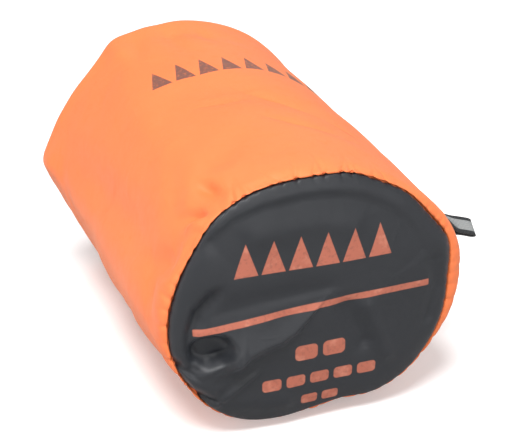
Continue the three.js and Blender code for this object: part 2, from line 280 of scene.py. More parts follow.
def smooth_step(value, low, high):
    share = np.clip((value - low) / (high - low), 0, 1)
    return share * share * (3 - 2 * share)


def lumps(points, layers):
    """Height of soft noise at each point, summed over layers of a height, a size and a seed."""
    height = np.zeros(len(points))
    for tall, size, seed in layers:
        offset = Vector((seed * 7.3, seed * 3.1, seed * 5.7))
        height += tall * MM * np.array([noise.noise(Vector(p) / (size * MM) + offset) for p in points])
    return height


def beside_route(across, up, route):
    """How far along a route each place lies (0 to 1), how far to its left, and how far past its ends."""
    lengths = [math.dist(a, b) for a, b in zip(route, route[1:])]
    passed = 0.0
    stretches = []
    for start, end, length in zip(route, route[1:], lengths):
        run = ((end[0] - start[0]) / length, (end[1] - start[1]) / length)
        travel = (across - start[0]) * run[0] + (up - start[1]) * run[1]
        left = run[0] * (up - start[1]) - run[1] * (across - start[0])
        within = np.clip(travel, 0, length)
        distance = np.hypot(left, travel - within)
        outside = ((start == route[0]) & (travel < 0)) | ((end == route[-1]) & (travel > length))
        share = (passed + within) / sum(lengths)
        side = np.where(outside, left, np.copysign(distance, left))
        past = np.where(outside, np.abs(travel - within), 0)
        stretches.append((distance, share, side, past))
        passed += length
    distances, *measures = zip(*stretches)
    nearest = np.argmin(distances, axis=0)
    return [np.choose(nearest, measure) for measure in measures]


def axis_height(along):
    """Height of the sack's axis at a distance behind the panel's seam."""
    return AXIS_AT_PANEL + (AXIS_AT_MOUTH - AXIS_AT_PANEL) * along / SACK_LENGTH


def sack_places(points):
    """Degrees round the sack's axis, distance behind the panel's seam, and distance from the axis."""
    along = points[:, 1] - SEAM_Y
    rise = points[:, 2] - axis_height(np.clip(along, 0, SACK_LENGTH))
    return np.degrees(np.arctan2(rise, points[:, 0])), along, np.hypot(points[:, 0], rise)


def degrees_from(degrees, centre):
    """Signed turn from a centre, between -180 and 180."""
    return (degrees - centre + 180) % 360 - 180


def facing(degrees, centre, width):
    """1 in a direction round the axis, fading to both sides of it."""
    return bell(degrees_from(degrees, centre), width)


def stitch_tucks():
    """Places where the end seam's stitches pull the cloth in: degrees, strength and lean."""
    draw = random.Random(11)
    tucks = []
    degrees = 0.0
    while degrees < 358:
        step = draw.uniform(*TUCK_STEPS["right" if degrees < 75 or degrees > 330 else "elsewhere"])
        strength = draw.uniform(*TUCK_STRENGTHS["top" if 60 < degrees < 135 else "elsewhere"])
        tucks.append((degrees, strength, draw.uniform(-TUCK_LEAN, TUCK_LEAN)))
        degrees += step
    return tucks


def tuck_depth(degrees, inwards, reach, width, fade):
    """Depth (0 to about 1) of the seam's tucks, fading over a distance from the seam."""
    depth = np.zeros_like(degrees)
    for centre, strength, lean in stitch_tucks():
        aside = np.radians(degrees_from(degrees, centre)) * reach - lean * inwards
        depth += strength * bell(aside, width) * np.exp(-inwards / (fade * (0.5 + strength)))
    return depth


def seam_reach(degrees):
    """Distance from the axis to the end panel's seam, read from the panel's solid and smoothed."""
    points = read_points(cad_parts["end_panel"].data)
    ring = np.unique(np.round(points[np.abs(points[:, 1] - SEAM_Y) < 0.01 * MM], 7), axis=0)
    rise = ring[:, 2] - AXIS_AT_PANEL
    angles = np.degrees(np.arctan2(rise, ring[:, 0])) % 360
    order = np.argsort(angles)
    finer = 8
    count = len(order) * finer
    waves = np.fft.rfft(np.hypot(ring[:, 0], rise)[order])
    smooth = np.fft.irfft(waves, count) * finer
    turns = np.arange(count) * 360 / count + angles[order][0]
    return np.interp(degrees % 360, turns, smooth, period=360)


# Finishes

def is_output(value):
    """Whether a value is the output of a node. Its id_data is the node tree that it belongs to."""
    return isinstance(value, bpy.types.NodeSocket)


def feed(node, inputs):
    """Sets a node's inputs, each to a value or linked to the output of another node."""
    for socket, value in inputs.items():
        if is_output(value):
            node.id_data.links.new(value, node.inputs[socket])
        else:
            node.inputs[socket].default_value = value


def add_node(tree, kind, inputs=None, **settings):
    node = tree.nodes.new(kind)
    for name, value in settings.items():
        setattr(node, name, value)
    feed(node, inputs or {})
    return node


def add_after(kind, inputs, **settings):
    """Adds a shader node to the tree of the outputs that feed it, and gives its own outputs."""
    tree = next(value.id_data for value in inputs.values() if is_output(value))
    return add_node(tree, kind, inputs, **settings).outputs


def calc(operation, *values):
    """Output of a Math node."""
    return add_after("ShaderNodeMath", dict(enumerate(values)), operation=operation)[0]


def rest_of(value):
    return calc("SUBTRACT", 1.0, value)


def mix_colour(factor, *pair):
    """Mixes two colours, each with three values or the output of another node."""
    first, second = (end if is_output(end) else (*end, 1.0) for end in pair)
    return add_after("ShaderNodeMix", {0: factor, 6: first, 7: second}, data_type="RGBA")[2]


def between(value, low, high):
    """0 to 1 as a value goes from low to high."""
    inputs = {"Value": value, "From Min": low, "From Max": high}
    return add_after("ShaderNodeMapRange", inputs, clamp=True)[0]


def split(vector):
    outputs = add_after("ShaderNodeSeparateXYZ", {0: vector})
    return outputs[0], outputs[1]


def noise_over(place, scale, **inputs):
    """Noise over a surface. Its scale is 1 over the size of its lumps in metres."""
    return add_after("ShaderNodeTexNoise", {"Vector": place, "Scale": scale, **inputs})[0]


def open_group(tree, **inputs):
    """Adds a node group's inputs: numbers with a default, and places, which have none."""
    for socket, value in inputs.items():
        kind = "NodeSocketVector" if value is None else "NodeSocketFloat"
        made = tree.interface.new_socket(socket, in_out="INPUT", socket_type=kind)
        if value is not None:
            made.default_value = value
    return tree.nodes.new("NodeGroupInput").outputs


def close_group(tree, **results):
    """Adds a node group's outputs, which are all numbers."""
    for socket in results:
        tree.interface.new_socket(socket, in_out="OUTPUT", socket_type="NodeSocketFloat")
    feed(tree.nodes.new("NodeGroupOutput"), results)


def plain_weave(tree):
    """Threads over and under each other at a pitch in metres. Its Shade is painted shade: the threads
    lighter on their round tops and darker at their sides.
    """
    given = open_group(tree, Place=None, Pitch=0.0004)
    across, up = [calc("DIVIDE", side, given["Pitch"]) for side in split(given["Place"])]
    warp, weft = [calc("ABSOLUTE", calc("SINE", calc("MULTIPLY", side, math.pi)))
                  for side in (across, up)]
    cell = calc("ADD", calc("FLOOR", across), calc("FLOOR", up))
    over = calc("FRACT", calc("MULTIPLY", cell, 0.5))
    over = calc("GREATER_THAN", calc("ABSOLUTE", over), 0.25)
    under = rest_of(over)
    height = calc("ADD", calc("MULTIPLY", warp, over), calc("MULTIPLY", weft, under))
    # Painted shade of the threads: lighter on their round tops, darker at their sides, a little lighter
    # where the warp lies over
    shade = calc("ADD", calc("MULTIPLY", height, 0.7), calc("MULTIPLY", over, 0.3))
    close_group(tree, Height=height, Shade=shade)


def soft_crumple(tree):
    """Small soft creases of thin coated cloth."""
    given = open_group(tree, Place=None, Size=0.01)
    scale = calc("DIVIDE", 1.0, given["Size"])
    bend = noise_over(given["Place"], scale, Detail=1.0)
    wide = noise_over(given["Place"], calc("MULTIPLY", scale, 0.8), Detail=3.0, Distortion=0.8)
    ridge = calc("ABSOLUTE", calc("SUBTRACT", wide, 0.5))
    ridge = rest_of(calc("MULTIPLY", ridge, 3.0))
    height = calc("ADD", calc("MULTIPLY", ridge, 0.5), calc("MULTIPLY", bend, 0.5))
    close_group(tree, Height=height)


def cloth_tone(tree):
    """Slow change of tone over dyed cloth, and lighter rubbed places."""
    given = open_group(tree, Place=None, Size=0.03)
    scale = calc("DIVIDE", 1.0, given["Size"])
    slow = noise_over(given["Place"], scale, Detail=2.0)
    fine = noise_over(given["Place"], calc("MULTIPLY", scale, 9.0), Detail=4.0)
    close_group(tree, Tone=slow, Rubbed=between(fine, 0.55, 0.75))


def print_wear(tree):
    """Thins a printed mask a little where the ink missed the threads."""
    given = open_group(tree, Mask=0.0, Place=None, Wear=0.2)
    missed = between(noise_over(given["Place"], 900.0, Detail=3.0), 0.52, 0.68)
    kept = rest_of(calc("MULTIPLY", missed, given["Wear"]))
    close_group(tree, Mask=calc("MULTIPLY", given["Mask"], kept))


def placed(maker, **inputs):
    """Outputs of a shared node group, built at its first use and placed with its own values."""
    name = maker.__name__.replace("_", " ").title()
    group = bpy.data.node_groups.get(name)
    if group is None:
        group = bpy.data.node_groups.new(name, "ShaderNodeTree")
        maker(group)
    return add_after("ShaderNodeGroup", inputs, node_tree=group)


def new_material(name, piece):
    """Puts a new material on a piece. Gives its nodes, its shader and the places in object space."""
    material = bpy.data.materials.new(name)
    material.use_nodes = True
    piece.data.materials.clear()
    piece.data.materials.append(material)
    tree = material.node_tree
    solid = add_node(tree, "ShaderNodeTexCoord").outputs["Object"]
    return tree, tree.nodes["Principled BSDF"], solid


def woven(tree, solid, pitch, size):
    """A cloth's flat places across and up, its weave by its pitch, and its tone by its patches' size."""
    flat = add_node(tree, "ShaderNodeUVMap", uv_map="cloth").outputs[0]
    weave = placed(plain_weave, Place=flat, Pitch=pitch)
    return *split(flat), weave, placed(cloth_tone, Place=solid, Size=size)


def bumped(*layers):
    """Normal of several height layers, each with its real height in metres."""
    normal = {}
    for height, depth in layers:
        inputs = {"Height": height, "Distance": depth, "Strength": 1.0, **normal}
        normal = {"Normal": add_after("ShaderNodeBump", inputs)[0]}
    return normal["Normal"]


def bar_mask(across, up, centre, size, corner=0.3 * MM):
    """1 inside a bar with round corners, at a centre and of a size in metres."""
    past = []
    for place, middle, length in zip((across, up), centre, size):
        aside = calc("ABSOLUTE", calc("SUBTRACT", place, middle))
        aside = calc("MAXIMUM", calc("SUBTRACT", aside, length / 2 - corner), 0.0)
        past.append(calc("POWER", aside, 2.0))
    reach = calc("SQRT", calc("ADD", *past))
    return between(reach, corner + PRINT_EDGE, corner - PRINT_EDGE)


def printed_row(across, up, row):
    """1 inside the shapes of a row: plain dashes, or plain upright triangles."""
    centre = [side * MM for side in row.centre]
    wide, tall = [side * MM for side in row.size]
    gap = row.gap * MM
    pitch = wide + gap
    length = row.count * pitch - gap
    start = centre[0] - length / 2 - gap / 2
    cell = calc("MODULO", calc("SUBTRACT", across, start), pitch)
    if row.shape == "dash":
        shapes = bar_mask(cell, up, (pitch / 2, centre[1]), (wide, tall), corner=tall * 0.3)
        rows = 2 * tall
    else:
        aside = calc("ABSOLUTE", calc("SUBTRACT", cell, pitch / 2))
        rise = calc("SUBTRACT", up, centre[1] - tall / 2)
        left = rest_of(calc("DIVIDE", rise, tall))
        slope = calc("SUBTRACT", calc("MULTIPLY", left, wide / 2), aside)
        shapes = between(slope, -PRINT_EDGE, PRINT_EDGE)
        rows = tall
    within = bar_mask(across, up, centre, (length + gap / 2, rows))
    return calc("MULTIPLY", shapes, within)


def rougher(start, *layers):
    """A roughness that several masks add to."""
    for mask, amount in layers:
        start = calc("ADD", start, calc("MULTIPLY", mask, amount))
    return start


def finish_sack_cloth(piece, colours, sizes):
    """Orange coated nylon with a dark row of pennants printed round its far end."""
    tree, shader, solid = new_material("Orange Nylon", piece)
    across, up, weave, tone = woven(tree, solid, sizes.weave_pitch, 35 * MM)
    crumple = placed(soft_crumple, Place=solid, Size=9 * MM)[0]
    cloth = mix_colour(tone["Tone"], colours.orange, colours.orange_deep)
    # Painted shade of the weave: the cloth darkens toward deep orange at the threads' sides, between their
    # round tops
    threads = calc("MULTIPLY", rest_of(weave["Shade"]), 0.16)
    cloth = mix_colour(threads, cloth, colours.orange_deep)
    row = printed_row(across, up, SACK_ROW)
    row = placed(print_wear, Mask=row, Place=solid, Wear=0.35)[0]
    feed(shader, {
        "Base Color": mix_colour(calc("MULTIPLY", row, 0.86), cloth, colours.dark_print),
        "Roughness": rougher(0.5, (tone["Rubbed"], 0.12)),
        "Normal": bumped((crumple, 0.35 * MM), (weave["Height"], 0.035 * MM)),
        "Sheen Weight": 0.12,
        "Sheen Roughness": 0.4,
        "Sheen Tint": (1.0, 0.75, 0.55, 1.0),
    })


def finish_panel_cloth(piece, colours, sizes):
    """Charcoal coated nylon with a printed line, a row of pennants and rows of dashes."""
    tree, shader, solid = new_material("Charcoal Nylon", piece)
    across, up, weave, tone = woven(tree, solid, sizes.weave_pitch, 30 * MM)
    crumple = placed(soft_crumple, Place=solid, Size=8 * MM)[0]
    cloth = mix_colour(tone["Tone"], colours.charcoal, colours.charcoal_light)
    # Painted highlight of the weave: the cloth lightens toward light charcoal on the threads' round tops
    threads = calc("MULTIPLY", weave["Shade"], 0.35)
    cloth = mix_colour(threads, cloth, colours.charcoal_light)
    bow = calc("MULTIPLY", calc("POWER", across, 2.0), LINE_BOW)
    rise = calc("ADD", bow, calc("MULTIPLY", across, LINE_SLOPE))
    printed = bar_mask(across, calc("SUBTRACT", up, rise), LINE_CENTRE, LINE_SIZE)
    for row in PANEL_ROWS:
        printed = calc("MAXIMUM", printed, printed_row(across, up, row))
    printed = placed(print_wear, Mask=printed, Place=solid, Wear=0.22)[0]
    ink = mix_colour(tone["Rubbed"], colours.coral_print, colours.coral_light)
    feed(shader, {
        "Base Color": mix_colour(printed, cloth, ink),
        "Roughness": rougher(0.42, (tone["Rubbed"], 0.1), (printed, 0.12)),
        "Normal": bumped((crumple, 0.22 * MM), (weave["Height"], 0.03 * MM), (printed, 0.02 * MM)),
        "Sheen Weight": 0.1,
        "Sheen Roughness": 0.35,
        "Sheen Tint": (0.85, 0.9, 1.0, 1.0),
    })


def finish_tape(piece, colours, sizes):
    """Silver grey woven tape with dark edges."""
    tree, shader, solid = new_material("Grey Tape", piece)
    across, up, weave, tone = woven(tree, solid, TAPE_WEAVE, 6 * MM)
    edge_from = sizes.tape_width / 2 - sizes.tape_edge
    edges = between(calc("ABSOLUTE", across), edge_from - 0.1 * MM, edge_from + 0.1 * MM)
    face = mix_colour(tone["Tone"], colours.tape_face, colours.tape_shade)
    # Painted shade of the weave: the tape is mostly its shade colour, lighter only on its threads' round
    # tops
    face = mix_colour(calc("MULTIPLY", weave["Shade"], 0.3), colours.tape_shade, face)
    feed(shader, {
        "Base Color": mix_colour(edges, face, colours.tape_edge),
        "Roughness": rougher(0.45, (tone["Rubbed"], 0.15)),
        "Normal": bumped((weave["Height"], 0.09 * MM)),
    })


def finish_thread(piece, colours):
    """Orange sewing thread."""
    tree, shader, solid = new_material("Orange Thread", piece)
    twist = add_after("ShaderNodeTexWave", {"Vector": solid, "Scale": 900.0, "Distortion": 1.0})[1]
    feed(shader, {
        "Base Color": mix_colour(twist, colours.thread, colours.orange_deep),
        "Roughness": 0.5,
        "Normal": bumped((twist, 0.05 * MM)),
    })


def camera_sees(tree, seen, lit, output):
    """Shows one shader to the camera, and the other to the light that falls on the pieces."""
    camera_ray = add_node(tree, "ShaderNodeLightPath").outputs["Is Camera Ray"]
    both = add_after("ShaderNodeMixShader", {0: camera_ray, 1: lit, 2: seen})[0]
    feed(tree.nodes[output], {"Surface": both})


def finish_floor(piece, colour):
    """Pale floor that glows faintly and lights the piece less than it shows, and more on the left."""
    tree, shader, solid = new_material("Pale Floor", piece)
    grain = noise_over(solid, 40.0)
    feed(shader, {
        "Base Color": mix_colour(grain, colour, [channel * 0.98 for channel in colour]),
        "Roughness": 0.9,
        "Specular IOR Level": 0.1,
        "Emission Color": WHITE,
        "Emission Strength": FLOOR_GLOW,
    })
    across, along = split(solid)
    bounce = mix_colour(between(across, *BOUNCE_TURNS), *([share] * 3 for share in FLOOR_BOUNCE))
    shaded = add_after("ShaderNodeBsdfDiffuse", {"Color": bounce})[0]
    camera_sees(tree, shader.outputs[0], shaded, "Material Output")


def light_sky(tree, strength):
    """An even sky of a strength that lights the piece, and that the camera sees as plain white."""
    lit = tree.nodes["Background"]
    feed(lit, {"Color": WHITE, "Strength": strength})
    plain = add_node(tree, "ShaderNodeBackground", {"Color": WHITE, "Strength": 1.0})
    camera_sees(tree, plain.outputs[0], lit.outputs[0], "World Output")


# Sizes and colours a user would change

def length_property(name, description, default):
    return bpy.props.FloatProperty(name=name, description=description, default=default, unit="LENGTH")


def power_property(name, description, default):
    return bpy.props.FloatProperty(name=name, description=description, default=default, subtype="POWER")


def place_property(name, description, default):
    return bpy.props.FloatVectorProperty(
        name=name, description=description, default=default, subtype="TRANSLATION", unit="LENGTH", size=3)


def colour_property(name, description, default):
    return bpy.props.FloatVectorProperty(
        name=name, description=description, default=default, subtype="COLOR", size=3, min=0, max=1)


class SackSizes(bpy.types.PropertyGroup):
    """Sizes of the stuff sack's cloth."""
    start_inset: length_property("Start inset", "How much smaller the sack is before it is filled", 0.0005)
    fill_limit: length_property("Fill limit", "How far the filling may push the cloth out", 0.0008)
    fill_pressure: bpy.props.FloatProperty(
        name="Fill pressure", description="Pressure of the filling on the cloth", default=4.0)
    tuck_depth: length_property("Tuck depth", "How deep the end seam's stitches pull in the cloth", 0.0012)
    pleat_depth: length_property("Pleat depth", "Depth of the pleats at the drawn-in mouth", 0.0016)
    weave_pitch: length_property("Weave pitch", "Distance between the cloth's threads", 0.0003)


class PanelSizes(bpy.types.PropertyGroup):
    """Sizes of the end panel."""
    thickness: length_property("Thickness", "Thickness of the coated cloth", 0.0004)
    turned_edge: length_property("Turned edge", "Edge that is turned back into the seam", 0.0015)
    weave_pitch: length_property("Weave pitch", "Distance between the cloth's threads", 0.0003)


class LoopSizes(bpy.types.PropertyGroup):
    """Sizes of the haul loop's tape."""
    tape_width: length_property("Tape width", "Width of the tape", 0.006)
    tape_thickness: length_property("Tape thickness", "Thickness of the tape", 0.0008)
    tape_edge: length_property("Dark edge", "Width of the dark edge on either side", 0.0012)


class StitchSizes(bpy.types.PropertyGroup):
    """Sizes of the visible stitches."""
    length: length_property("Stitch length", "Length of one stitch", 0.0022)
    gap: length_property("Stitch gap", "Gap between two stitches", 0.0008)
    thread: length_property("Thread", "Thickness of the thread", 0.0004)
    beside_seam: length_property("Beside the seam", "From the lengthwise seam to its stitches", 0.0016)
    hem_reach: length_property("Hem reach", "From the middle of the mouth to its hem's stitches", 0.017)


class ClothColours(bpy.types.PropertyGroup):
    """Colours of the cloths, prints, tape and thread."""
    orange: colour_property("Orange", "Sack cloth", (0.92, 0.225, 0.066))
    # Deep orange is the dye's random darker tone and the stitch thread's twist, and also the painted shade
    # between the sack's threads
    orange_deep: colour_property("Deep orange", "Sack cloth in its darker parts", (0.9, 0.185, 0.048))
    charcoal: colour_property("Charcoal", "End panel", (0.0085, 0.0098, 0.013))
    # Light charcoal is the panel's random lighter tone, and also the painted highlight on its threads'
    # tops
    charcoal_light: colour_property("Light charcoal", "Panel's lighter parts", (0.015, 0.0166, 0.021))
    coral_print: colour_property("Coral print", "Print on the end panel", (0.44, 0.125, 0.075))
    coral_light: colour_property("Light coral", "Rubbed print on the end panel", (0.56, 0.2, 0.13))
    dark_print: colour_property("Dark print", "Print on the sack", (0.085, 0.05, 0.05))
    tape_face: colour_property("Tape", "Middle of the tape", (0.42, 0.43, 0.43))
    # Tape shade is the tape's random darker tone, and also the painted shade at its threads' sides
    tape_shade: colour_property("Tape shade", "Darker threads of the tape", (0.25, 0.26, 0.26))
    tape_edge: colour_property("Tape edge", "Edges of the tape", (0.02, 0.022, 0.024))
    thread: colour_property("Thread", "Sewing thread", (0.93, 0.33, 0.14))


class StageSettings(bpy.types.PropertyGroup):
    """Camera, light and floor."""
    camera_place: place_property("Camera", "Where the camera stands", (-0.1677, -0.4591, 0.2692))
    camera_target: place_property("Target", "What the camera looks at", (-0.0075, -0.035, 0.0555))
    lens: bpy.props.FloatProperty(name="Lens", description="Focal length in millimetres", default=112.94)
    sky: bpy.props.FloatProperty(name="Sky", description="Strength of the light all round", default=0.42)
    key: power_property("Key light", "Power of the large soft light", 22)
    side: power_property("Side light", "Power of the soft light from the left", 1.5)
    front: power_property("Front light", "Power of the low light in front", 6)
    back: power_property("Back light", "Power of the soft light behind on the right", 0.8)
    floor: colour_property("Floor", "Pale floor", (0.9, 0.9, 0.9))


# Stuff sack

def copy_of_solid(node, name):
    """A new object with the solid's form, its loose triangles joined into four-sided faces."""
    piece = bpy.data.objects.new(name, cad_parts[node].data.copy())
    bpy.context.scene.collection.objects.link(piece)
    with editing(piece, "VERT"):
        bpy.ops.mesh.select_all(action="SELECT")
        bpy.ops.mesh.remove_doubles(threshold=0.002 * MM)
        bpy.ops.mesh.tris_convert_to_quads(face_threshold=0.7, shape_threshold=0.7)
    return piece


def held_by_seams(points):
    """Vertices that the filling can't move: behind the panel, at its seam, on the floor, in the mouth."""
    degrees, along, reach = sack_places(points)
    behind_panel = along < 1.2 * MM
    covered = (along < 7 * MM) & (reach < seam_reach(degrees) + 0.6 * MM)
    on_floor = points[:, 2] < 0.8 * MM
    mouth = (along > SACK_LENGTH - 6 * MM) & (reach < 16 * MM)
    return behind_panel | covered | on_floor | mouth


def fill_out(piece, sizes):
    """Insets the free cloth and lets the filling push it out, by cloth simulation, within a limit."""
    held = held_by_seams(read_points(piece.data))
    with editing(piece, "VERT") as shape:
        for vertex in shape.verts:
            vertex.select_set(not held[vertex.index])
        bpy.ops.transform.shrink_fatten(value=-sizes.start_inset)
    start = read_points(piece.data)
    group = piece.vertex_groups.new(name="held")
    group.add(np.nonzero(held_by_seams(start))[0].tolist(), 1.0, "REPLACE")
    cloth = piece.modifiers.new("Cloth", "CLOTH")
    cloth.settings.quality = 5
    cloth.settings.use_pressure = True
    cloth.settings.uniform_pressure_force = sizes.fill_pressure
    cloth.settings.vertex_group_mass = "held"
    cloth.settings.effector_weights.gravity = 0
    cloth.settings.shrink_min = -0.05
    scene = bpy.context.scene
    for step in range(FILL_STEPS):
        scene.frame_set(1 + step)
    choose(piece)
    bpy.ops.object.modifier_apply(modifier="Cloth")
    scene.frame_set(1)
    moves = read_points(piece.data) - start
    lengths = np.linalg.norm(moves, axis=1, keepdims=True)
    moves *= np.minimum(1, sizes.fill_limit / np.maximum(lengths, 1e-9))
    write_points(piece.data, start + moves)
    piece.vertex_groups.clear()


def refine_at_seam(piece):
    """Splits the faces next to the end seam, where the tucks are."""
    with editing(piece) as shape:
        for face in shape.faces:
            middle = face.calc_center_median()
            behind = middle.y - SEAM_Y
            outside = math.hypot(middle.x, middle.z - AXIS_AT_PANEL) > 30 * MM
            in_seam = behind < 1.9 * MM
            face.select_set(outside and behind < 10 * MM and face.normal.y < 0.9 and
                            (in_seam or face.normal.y > -0.5))
        bpy.ops.mesh.subdivide(number_cuts=1, smoothness=0.0)


def crease_relief(degrees, along):
    """Height of the listed creases, in metres."""
    relief = np.zeros_like(along)
    scale = GIRTH_PER_DEGREE / MM
    for crease in SACK_CREASES:
        start = crease.route[0][0]
        route = [(degrees_from(turn, start) * scale, behind) for turn, behind in crease.route]
        share, side, past = beside_route(degrees_from(degrees, start) * scale, along / MM, route)
        ends = 0.35 + 0.65 * np.sin(np.pi * np.clip(share, 0.02, 0.98))
        ends *= bell(past, min(1.6 * crease.width, CREASE_FADE / MM))
        relief += crease.height * MM * ends * bell(side, crease.width)
    return relief


def sack_relief(points, sizes):
    """How far the cloth stands out of its plain form at each point, in metres."""
    degrees, along, reach = sack_places(points)
    behind = np.maximum(along, 0)
    relief = lumps(points, SACK_LUMPS) + crease_relief(degrees, along)

    # A firmer edge where the cloth turns over the rim of the mouth
    at_rim = bell(along - RIM_ALONG, 2.4 * MM) * smooth_step(reach, 36 * MM, 42 * MM)
    relief += RIM_HEIGHT * at_rim

    # Tucks of the end seam, softer on the right, with the cloth puffed out between them
    tucks = tuck_depth(degrees, behind, seam_reach(degrees), 0.75 * MM, 3.2 * MM)
    relief -= sizes.tuck_depth * tucks * (1 - 0.6 * facing(degrees, RIGHT, 50))
    relief += SEAM_PUFF * np.exp(-behind / (3.5 * MM))

    # Lengthwise seam: a groove with small puckers on both sides, deeper at the loop
    from_seam = np.radians(degrees_from(degrees, SEAM_DEGREES)) * reach
    on_barrel = smooth_step(along, 1 * MM, 4 * MM) * smooth_step(SACK_LENGTH - along, 0, 5 * MM)
    ripple = np.sin(along / (5.2 * MM) * 2 * math.pi + 1.5 * np.sin(along / (17 * MM)))
    groove = -SEAM_GROOVE * bell(from_seam, 0.6 * MM)
    relief += on_barrel * (groove + SEAM_RIPPLE * ripple * bell(from_seam, 3.2 * MM))
    relief -= LOOP_PULL * bell(from_seam, 1.6 * MM) * bell(along - LOOP_ALONG, 3.6 * MM)
    return relief


def mouth_relief(points, sizes):
    """Pleats of the drawn-in mouth: how far each point moves along the sack, in metres."""
    degrees, along, reach = sack_places(points)
    at_mouth = smooth_step(along, SACK_LENGTH - 5 * MM, SACK_LENGTH - 1 * MM)
    inwards = np.clip(1 - reach / MOUTH_RADIUS, 0, 1)
    wave = np.radians(18 * degrees + 40 * np.sin(np.radians(3 * degrees)))
    narrow = np.radians(37 * degrees + 70 * np.sin(np.radians(5 * degrees + 30)))
    valley = -np.exp(-((np.cos(wave / 2) / 0.42) ** 2))
    fine = np.sin(narrow)
    swell = smooth_step(inwards, 0.0, 0.45) * smooth_step(reach, 3 * MM, 9 * MM)
    hem = bell(reach - 13 * MM, 1.6 * MM)
    gathers = sizes.pleat_depth * valley + 0.3 * sizes.pleat_depth * fine
    return at_mouth * (swell * gathers + HEM_HEIGHT * hem * (0.5 + 0.5 * fine))


def lay_out_sack(mesh):
    """Flat places of the sack's cloth: round the sack, and along it from the end seam over its rims."""
    degrees, along, reach = sack_places(read_points(mesh))
    turned = (degrees - SEAM_DEGREES) % 360 + SEAM_DEGREES
    over_mouth = np.where(along > SACK_LENGTH - 3 * MM, np.maximum(0, RIM_RADIUS - reach), 0)
    on_shoulder = np.clip(reach - seam_reach(degrees), -10 * MM, 4 * MM)
    run = along + over_mouth + np.where(along < SACK_LENGTH / 2, on_shoulder, 4 * MM)
    corners = read_whole(mesh.loops, "vertex_index")
    starts = read_whole(mesh.polygons, "loop_start")
    counts = np.diff(np.append(starts, len(corners)))
    round_sack = turned[corners]
    widest = np.repeat(np.maximum.reduceat(round_sack, starts), counts)
    round_sack = np.where(widest - round_sack > 180, round_sack + 360, round_sack)
    write_flat_places(mesh, np.stack([round_sack * GIRTH_PER_DEGREE, run[corners]], axis=1))


def settle(points):
    """Keeps the sack flat on the floor and its covered end behind the panel."""
    degrees, along, reach = sack_places(points)
    seam = seam_reach(degrees)
    covered = (along < 6 * MM) & (reach < seam - 0.8 * MM)
    behind = panel_points(np.clip(reach / seam, 0, 1), degrees)[:, 1] + COVER_GAP
    points[:, 1] = np.where(covered, np.maximum(points[:, 1], behind), points[:, 1])
    points[:, 2] = np.maximum(points[:, 2], FLOOR_GAP)
    return points


class BIVVY_OT_sack(bpy.types.Operator):
    """The filled stuff sack: cloth pushed out by its filling, with tucks, creases and pleats"""
    bl_idname = "bivvy.sack"
    bl_label = "Stuff Sack"

    def execute(self, context):
        scene = context.scene
        sizes = scene.bivvy_sack
        sack = copy_of_solid("sack_body", "sack_cloth")
        fill_out(sack, sizes)
        apply_modifier(sack, "SUBSURF", levels=2, render_levels=2)
        refine_at_seam(sack)
        points = read_points(sack.data)
        normals = read_vectors(sack.data.vertex_normals, "vector")
        points += normals * sack_relief(points, sizes)[:, None]
        points[:, 1] += mouth_relief(points, sizes)
        write_points(sack.data, settle(points))
        lay_out_sack(sack.data)
        choose(sack)
        bpy.ops.object.shade_smooth()
        finish_sack_cloth(sack, scene.bivvy_colours, sizes)
        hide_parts("sack_body")
        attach(sack, "root")
        return {"FINISHED"}


# End panel

def disc_places(square):
    """Share of the way out, and degrees, for places on a square from -1 to 1 that is drawn to a disc."""
    across, up = square[:, 0], square[:, 1]
    wide = np.abs(across) > np.abs(up)
    share = np.where(wide, across, up)
    other = np.where(wide, up, across)
    turn = 45 * np.divide(other, share, out=np.zeros_like(share), where=np.abs(share) > 1e-9)
    degrees = np.where(wide, turn, 90 - turn) + np.where(share < 0, 180, 0)
    return np.abs(share), degrees


def fold_form(fold, side, past, width):
    """Form of a fold, from 0 to 1, beside its route and past its ends."""
    ends = bell(past, FOLD_END_FADE / MM)
    if fold.form == "ridge":
        crest = FOLD_CREST / MM
        distance = np.sqrt(side ** 2 + crest ** 2) - crest
        return np.clip(1 - distance / width, 0, 1) ** 1.5 * ends
    if fold.form == "bowl":
        return 1 - smooth_step(np.hypot(side, past), fold.below - fold.above, fold.below)
    if fold.form == "fall":
        recovered = np.exp(np.minimum(side, 0) / fold.below)
        return smooth_step(-side, -fold.above, fold.above) * recovered * ends
    return bell(side, width) * ends


def fold_heights(across, up, free):
    """How far the folds stand out, for places in millimetres, where free is 0 at the seam."""
    height = np.zeros_like(across)
    for fold in PANEL_FOLDS:
        share, side, past = beside_route(across, up, fold.route)
        left = 1 + (fold.end - 1) * share
        width = np.where(side > 0, fold.above, fold.below) * left
        held = 1 if fold.form == "notch" else free
        height += held * fold.height * left * fold_form(fold, side, past, width)
    return height * MM


def panel_points(share, degrees):
    """Points of the panel's cloth, from shares of the way out to its seam and degrees."""
    reach = seam_reach(degrees)
    inwards = (1 - share) * reach
    tucks = tuck_depth(degrees, inwards, reach, 0.7 * MM, 1.0 * MM)
    ribs = tuck_depth(degrees, inwards, reach, 0.8 * MM, 2.8 * MM) * facing(degrees, RIGHT, 40)
    hanging = facing(degrees, 258, 46) * smooth_step(inwards, 0, 1.2 * MM)
    reach_now = share * reach - PANEL_TUCK * tucks * np.exp(-inwards / (1.2 * MM))
    reach_now += PANEL_OVERHANG * hanging * bell(inwards - 1.6 * MM, 1.5 * MM)
    across = reach_now * np.cos(np.radians(degrees))
    up = AXIS_AT_PANEL + reach_now * np.sin(np.radians(degrees))
    free = smooth_step(inwards, 0, FOLD_HOLD)
    roll_width = PANEL_ROLL_WIDTH + PANEL_ROLL_WIDER * facing(degrees, 100, 60)
    height = PANEL_ROLL * (1 - np.exp(-inwards / roll_width)) + PANEL_CROWN * (1 - share ** 2)
    height += fold_heights(across / MM, up / MM, free)
    height -= (PANEL_DENT * tucks + PANEL_RIB * ribs) * smooth_step(inwards, 0, 0.8 * MM)
    height += free * lumps(np.stack([across, up, np.zeros_like(up)], axis=1), PANEL_LUMPS)
    return np.stack([across, SEAM_Y - height, up], axis=1)


